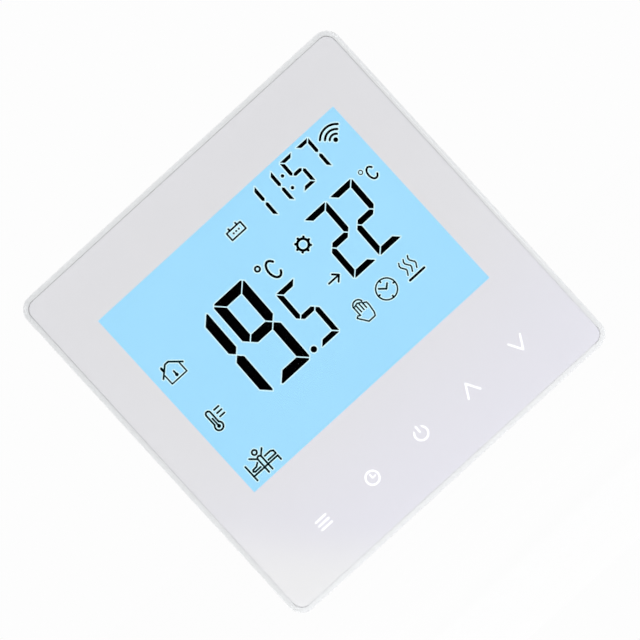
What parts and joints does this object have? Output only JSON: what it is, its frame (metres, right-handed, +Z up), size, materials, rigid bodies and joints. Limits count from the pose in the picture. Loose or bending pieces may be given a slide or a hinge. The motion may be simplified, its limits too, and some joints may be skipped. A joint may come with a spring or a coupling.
{
  "type": "programmable heating timer",
  "caption": "Square wall panel with a lit display and touch keys, on a power box with wire terminals that sits in a round wall box.",
  "frame": {"origin": "centre of the four wall slots, on the wall: the rear face of the steel mounting frame", "axes": "+X to the right as seen from the room, +Y into the wall, +Z up"},
  "size_m": [0.086, 0.0393, 0.086],
  "materials": {
    "clear_acrylic": "polished clear acrylic",
    "white_print": "smooth light grey-white screen print under the lens",
    "symbol_print": "translucent white print, lit from behind",
    "tape": "adhesive tissue tape",
    "white_shell": "fine-textured white ABS",
    "display_glass": "thin glass with polariser",
    "striped_rubber": "silicone rubber with carbon stripes",
    "diffuser_film": "matt white film",
    "light_guide": "clear acrylic with etched dots",
    "white_tray": "reflective white polycarbonate",
    "lamp": "ceramic package with yellow phosphor",
    "spring_wire": "bright nickel-plated spring wire",
    "green_board": "green solder resist on glass laminate",
    "radio_board": "black solder resist on glass laminate",
    "black_moulding": "moulded black epoxy or nylon",
    "tin_plate": "tin-plated steel sheet",
    "cell_steel": "satin nickel-plated steel",
    "sensor_bead": "dipped epoxy bead on tinned leads",
    "gold_plate": "gold-flashed brass",
    "galvanised_sheet": "spangled zinc-coated steel",
    "clip_steel": "stainless spring strip",
    "box_moulding": "fine-textured white polycarbonate blend",
    "zinc_screw": "bright zinc plate",
    "can_sleeve": "dark shrunk sleeve on an aluminium can",
    "yellow_case": "yellow moulded case",
    "blue_coat": "blue dipped coating",
    "fuse_body": "glass tube between nickel-plated caps",
    "ferrite": "sintered dark grey ferrite",
    "winding_tape": "yellow polyester tape",
    "relay_case": "blue moulded case",
    "contact_alloy": "copper alloy",
    "soft_iron": "nickel-plated soft iron",
    "coil_wire": "enamelled copper wire on a bobbin",
    "tinned_bar": "tinned brass strip",
    "terminal_moulding": "green moulded polyamide",
    "plated_cage": "nickel-plated steel",
    "terminal_screw": "bright zinc-plated steel"
  },
  "bodies": {
    "power_box": {"header_socket": "black_moulding", "mounting_frame": "galvanised_sheet", "retaining_clips": "clip_steel", "rear_box": "box_moulding", "box_cover": "box_moulding", "box_screws": "zinc_screw", "power_board": "green_board", "bulk_capacitors": "can_sleeve", "filter_capacitor": "yellow_case", "varistor": "blue_coat", "fuse": "fuse_body", "transformer_core": "ferrite", "transformer_winding": "winding_tape", "relay_cover": "relay_case", "relay_base": "black_moulding", "relay_fixed_contact": "contact_alloy", "relay_yoke": "soft_iron", "relay_coil": "coil_wire", "terminal_housing": "terminal_moulding", "current_bars": "tinned_bar"},
    "display_unit": {"front_lens": "clear_acrylic", "printed_mask": "white_print", "key_symbols": "symbol_print", "lens_tape": "tape", "front_shell": "white_shell", "lcd_front_glass": "display_glass", "lcd_rear_glass": "display_glass", "lcd_connector": "striped_rubber", "backlight_diffuser": "diffuser_film", "backlight_guide": "light_guide", "backlight_holder": "white_tray", "panel_lamps": "lamp", "touch_springs": "spring_wire", "key_light_tubes": "white_tray", "display_board": "green_board", "display_screws": "zinc_screw", "display_chips": "black_moulding", "radio_board": "radio_board", "radio_shield": "tin_plate", "clock_cell": "cell_steel", "cell_clip": "tin_plate", "buzzer": "black_moulding", "room_sensor": "sensor_bead", "header_pins": "gold_plate", "header_body": "black_moulding"},
    "relay_rocker": {"relay_armature": "soft_iron", "relay_blade": "contact_alloy"},
    "terminal_screw_1": {"terminal_screw_1": "terminal_screw"},
    "terminal_cage_1": {"terminal_cage_1": "plated_cage"},
    "terminal_screw_2": {"terminal_screw_2": "terminal_screw"},
    "terminal_cage_2": {"terminal_cage_2": "plated_cage"},
    "terminal_screw_3": {"terminal_screw_3": "terminal_screw"},
    "terminal_cage_3": {"terminal_cage_3": "plated_cage"},
    "terminal_screw_4": {"terminal_screw_4": "terminal_screw"},
    "terminal_cage_4": {"terminal_cage_4": "plated_cage"},
    "terminal_screw_5": {"terminal_screw_5": "terminal_screw"},
    "terminal_cage_5": {"terminal_cage_5": "plated_cage"},
    "terminal_screw_6": {"terminal_screw_6": "terminal_screw"},
    "terminal_cage_6": {"terminal_cage_6": "plated_cage"}
  },
  "joints": [
    {"name": "display_pull_off", "type": "slide", "parent": "power_box", "child": "display_unit", "axis": [0, -1, 0], "range_m": [0, 0.04], "deforming": ["retaining_clips"]},
    {"name": "relay_rocking", "type": "hinge", "parent": "power_box", "child": "relay_rocker", "pos_m": [-0.0083, 0.019, 0.0056], "axis": [0, 0, 1], "range_deg": [0, 4.5], "stiffness_Nm_per_rad": 0.004, "springref_deg": -4.58},
    {"name": "terminal_screw_1_turn", "type": "hinge", "parent": "power_box", "child": "terminal_screw_1", "pos_m": [-0.01905, 0.0174, -0.01075], "axis": [0, -1, 0], "range_deg": [0, 2809]},
    {"name": "terminal_cage_1_rise", "type": "slide", "parent": "power_box", "child": "terminal_cage_1", "axis": [0, 1, 0], "range_m": [0, 0.0039]},
    {"name": "terminal_screw_2_turn", "type": "hinge", "parent": "power_box", "child": "terminal_screw_2", "pos_m": [-0.01143, 0.0174, -0.01075], "axis": [0, -1, 0], "range_deg": [0, 2809]},
    {"name": "terminal_cage_2_rise", "type": "slide", "parent": "power_box", "child": "terminal_cage_2", "axis": [0, 1, 0], "range_m": [0, 0.0039]},
    {"name": "terminal_screw_3_turn", "type": "hinge", "parent": "power_box", "child": "terminal_screw_3", "pos_m": [-0.00381, 0.0174, -0.01075], "axis": [0, -1, 0], "range_deg": [0, 2809]},
    {"name": "terminal_cage_3_rise", "type": "slide", "parent": "power_box", "child": "terminal_cage_3", "axis": [0, 1, 0], "range_m": [0, 0.0039]},
    {"name": "terminal_screw_4_turn", "type": "hinge", "parent": "power_box", "child": "terminal_screw_4", "pos_m": [0.00381, 0.0174, -0.01075], "axis": [0, -1, 0], "range_deg": [0, 2809]},
    {"name": "terminal_cage_4_rise", "type": "slide", "parent": "power_box", "child": "terminal_cage_4", "axis": [0, 1, 0], "range_m": [0, 0.0039]},
    {"name": "terminal_screw_5_turn", "type": "hinge", "parent": "power_box", "child": "terminal_screw_5", "pos_m": [0.01143, 0.0174, -0.01075], "axis": [0, -1, 0], "range_deg": [0, 2809]},
    {"name": "terminal_cage_5_rise", "type": "slide", "parent": "power_box", "child": "terminal_cage_5", "axis": [0, 1, 0], "range_m": [0, 0.0039]},
    {"name": "terminal_screw_6_turn", "type": "hinge", "parent": "power_box", "child": "terminal_screw_6", "pos_m": [0.01905, 0.0174, -0.01075], "axis": [0, -1, 0], "range_deg": [0, 2809]},
    {"name": "terminal_cage_6_rise", "type": "slide", "parent": "power_box", "child": "terminal_cage_6", "axis": [0, 1, 0], "range_m": [0, 0.0039]}
  ],
  "couplings": [
    {"joint": "terminal_screw_1_turn", "follows": "terminal_cage_1_rise", "rad_per_m": 12566},
    {"joint": "terminal_screw_2_turn", "follows": "terminal_cage_2_rise", "rad_per_m": 12566},
    {"joint": "terminal_screw_3_turn", "follows": "terminal_cage_3_rise", "rad_per_m": 12566},
    {"joint": "terminal_screw_4_turn", "follows": "terminal_cage_4_rise", "rad_per_m": 12566},
    {"joint": "terminal_screw_5_turn", "follows": "terminal_cage_5_rise", "rad_per_m": 12566},
    {"joint": "terminal_screw_6_turn", "follows": "terminal_cage_6_rise", "rad_per_m": 12566}
  ]
}
